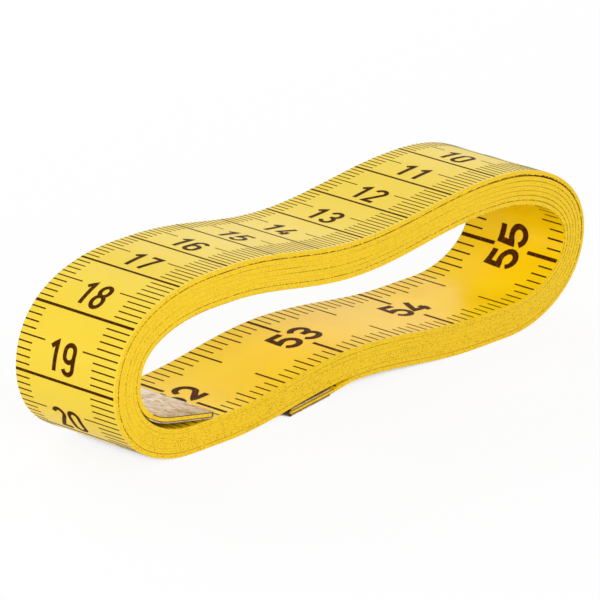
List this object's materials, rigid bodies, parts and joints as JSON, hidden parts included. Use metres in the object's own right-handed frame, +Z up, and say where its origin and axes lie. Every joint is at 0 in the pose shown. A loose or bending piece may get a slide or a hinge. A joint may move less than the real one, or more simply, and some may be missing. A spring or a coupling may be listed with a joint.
{
  "type": "tape measure",
  "caption": "Soft printed measuring tape wound into a flat hank drawn in at its waist, with a folded metal tip crimped on each free end.",
  "frame": {"origin": "on the surface that the hank stands on, under the middle of its box", "axes": "+X along the hank, the way the tape runs from its zero end along the underside; +Y across the tape from its front edge to its back edge; +Z up"},
  "size_m": [0.1036, 0.0184, 0.026],
  "materials": {
    "coated_cloth": "yellow, smooth satin coating printed in dark brown",
    "tip_metal": "tinned, worn and mottled"
  },
  "bodies": {
    "hank": {"tape_wound": "coated_cloth"},
    "outer_end": {"tape_outer_end": "coated_cloth", "outer_end_tip": "tip_metal"},
    "inner_end": {"tape_inner_end": "coated_cloth", "inner_end_tip": "tip_metal"}
  },
  "joints": [
    {"name": "outer_end_bend", "type": "hinge", "parent": "hank", "child": "outer_end", "pos_m": [0.00386, 0, 0.00261], "axis": [0, -1, 0], "range_deg": [0, 45], "stiffness_Nm_per_rad": 0.008},
    {"name": "inner_end_bend", "type": "hinge", "parent": "hank", "child": "inner_end", "pos_m": [-0.04699, 0, 0.01285], "axis": [0, -1, 0], "range_deg": [0, 45], "stiffness_Nm_per_rad": 0.008}
  ]
}
